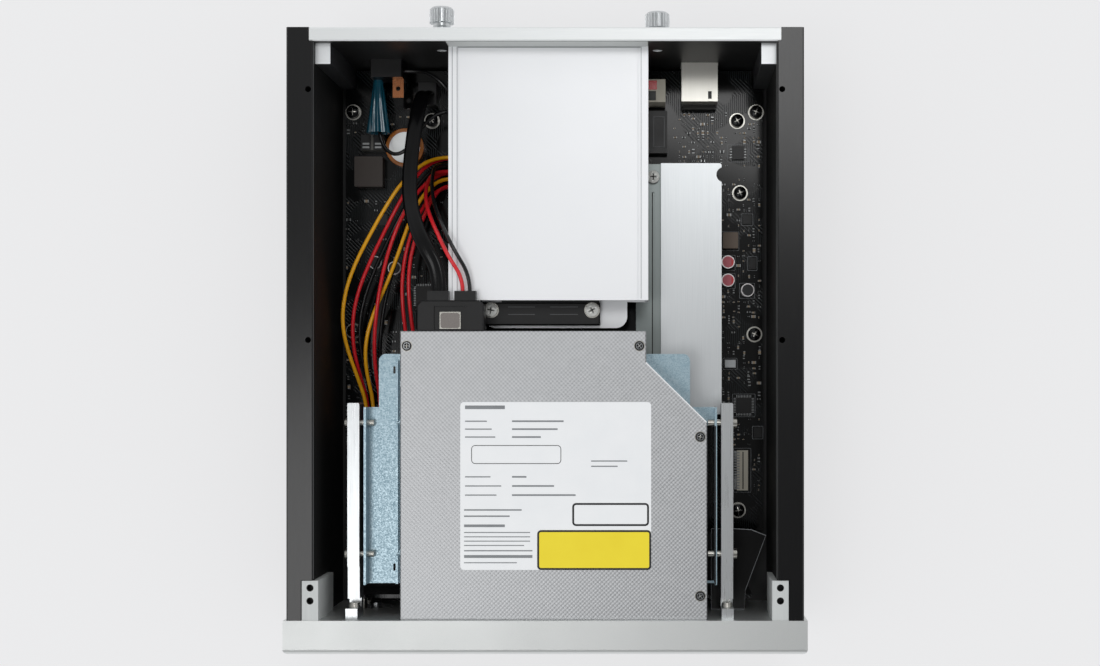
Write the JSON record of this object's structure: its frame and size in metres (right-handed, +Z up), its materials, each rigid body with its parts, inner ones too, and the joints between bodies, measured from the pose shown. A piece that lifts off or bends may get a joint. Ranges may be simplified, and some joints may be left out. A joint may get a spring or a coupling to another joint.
{
  "type": "music server",
  "caption": "Compact desktop music server with its top cover off: thick metal case, slim disc drive with sliding tray, rear storage caddy on thumbscrews, circuit board and wiring.",
  "frame": {"origin": "on the floor plane under the foot pads, at the middle of the object's width and depth, the thumbscrews included", "axes": "+Z up, front panel towards -Y, +X to the right seen from the front panel's side"},
  "size_m": [0.218, 0.273, 0.072],
  "materials": {
    "satin_front": "fine bead-blasted and clear anodised",
    "black_side": "black anodised",
    "silver_rear": "bright satin",
    "black_floor": "satin black",
    "turned_silver": "turned and anodised",
    "plated_steel": "nickel plated",
    "zinc_sheet": "zinc plated sheet",
    "drive_sheet": "pressed sheet with fine dots",
    "bay_sheet": "satin near white",
    "spreader": "brushed",
    "drive_case": "cast and milled",
    "board": "dark solder mask",
    "black_moulding": "moulded",
    "tray_moulding": "moulded, fine grain",
    "bezel_moulding": "painted to match the panel",
    "pale_moulding": "moulded",
    "choke_case": "pressed ferrite",
    "can": "drawn can",
    "cell": "plated",
    "orange_wrap": "shrunk film",
    "blue_sleeve": "glossy vinyl",
    "copper": "bare strip",
    "pad_rubber": "matt",
    "yellow_insulation": "wire insulation",
    "red_insulation": "wire insulation",
    "black_insulation": "wire insulation"
  },
  "bodies": {
    "case": {"front_panel": "satin_front", "left_side_panel": "black_side", "right_side_panel": "black_side", "rear_panel": "silver_rear", "bottom_plate": "black_floor", "case_screws": "plated_steel", "feet": "turned_silver", "foot_pads": "pad_rubber", "left_rear_post": "turned_silver", "right_rear_post": "turned_silver", "left_front_bracket": "turned_silver", "right_front_bracket": "turned_silver", "drive_bottom_shell": "drive_sheet", "drive_top_cover": "drive_sheet", "drive_cover_screws": "plated_steel", "drive_cradle": "zinc_sheet", "left_cradle_bar": "turned_silver", "right_cradle_bar": "turned_silver", "cradle_screws": "plated_steel", "bay_cage": "bay_sheet", "bay_base": "bay_sheet", "backplane": "black_moulding", "main_board": "board", "standoffs": "plated_steel", "board_screws": "plated_steel", "ethernet_shield": "plated_steel", "ethernet_core": "black_moulding", "power_inlet": "black_moulding", "inlet_tab": "copper", "inlet_sleeve": "blue_sleeve", "board_chokes": "choke_case", "board_chips": "black_moulding", "black_connectors": "black_moulding", "white_sockets": "pale_moulding", "board_capacitors": "can", "coin_cell": "cell", "cell_wrap": "orange_wrap", "heat_spreader": "spreader", "sata_plug": "black_moulding", "plug_clip": "plated_steel", "front_board": "board", "yellow_wires": "yellow_insulation", "red_wires": "red_insulation", "black_wires": "black_insulation", "data_cable": "black_insulation"},
    "tray": {"disc_tray": "tray_moulding", "tray_bezel": "bezel_moulding", "traverse_frame": "drive_sheet", "sled_rods": "plated_steel"},
    "spindle": {"spindle_hub": "black_moulding"},
    "pickup": {"laser_sled": "drive_case"},
    "feed_screw": {"lead_screw": "plated_steel"},
    "eject": {"eject_button": "bezel_moulding"},
    "power": {"power_button": "turned_silver"},
    "caddy": {"caddy_tray": "zinc_sheet", "caddy_fascia": "silver_rear", "storage_drive": "drive_case"},
    "left_knob": {"left_thumbscrew": "turned_silver"},
    "right_knob": {"right_thumbscrew": "turned_silver"}
  },
  "joints": [
    {"name": "tray_slide", "type": "slide", "parent": "case", "child": "tray", "axis": [0, -1, 0], "range_m": [0, 0.11]},
    {"name": "spindle_spin", "type": "hinge", "parent": "tray", "child": "spindle", "pos_m": [0.0033, -0.0661, 0.0628], "axis": [0, 0, 1], "continuous": true},
    {"name": "sled_slide", "type": "slide", "parent": "tray", "child": "pickup", "axis": [-0.7071, -0.7071, 0], "range_m": [0, 0.033]},
    {"name": "screw_spin", "type": "hinge", "parent": "tray", "child": "feed_screw", "pos_m": [0.01631, -0.07911, 0.0601], "axis": [-0.7071, -0.7071, 0], "continuous": true},
    {"name": "eject_press", "type": "slide", "parent": "tray", "child": "eject", "axis": [0, 1, 0], "range_m": [0, 0.0008], "stiffness_N_per_m": 600},
    {"name": "power_press", "type": "slide", "parent": "case", "child": "power", "axis": [0, 1, 0], "range_m": [0, 0.001], "stiffness_N_per_m": 700},
    {"name": "caddy_slide", "type": "slide", "parent": "case", "child": "caddy", "axis": [0, 1, 0], "range_m": [0, 0.1]},
    {"name": "left_knob_spin", "type": "hinge", "parent": "caddy", "child": "left_knob", "pos_m": [-0.04545, 0.1241, 0.0532], "axis": [0, 1, 0], "continuous": true},
    {"name": "right_knob_spin", "type": "hinge", "parent": "caddy", "child": "right_knob", "pos_m": [0.04665, 0.1241, 0.0532], "axis": [0, 1, 0], "continuous": true}
  ],
  "couplings": [
    {"joint": "screw_spin", "follows": "sled_slide", "rad_per_m": 2094.4}
  ]
}
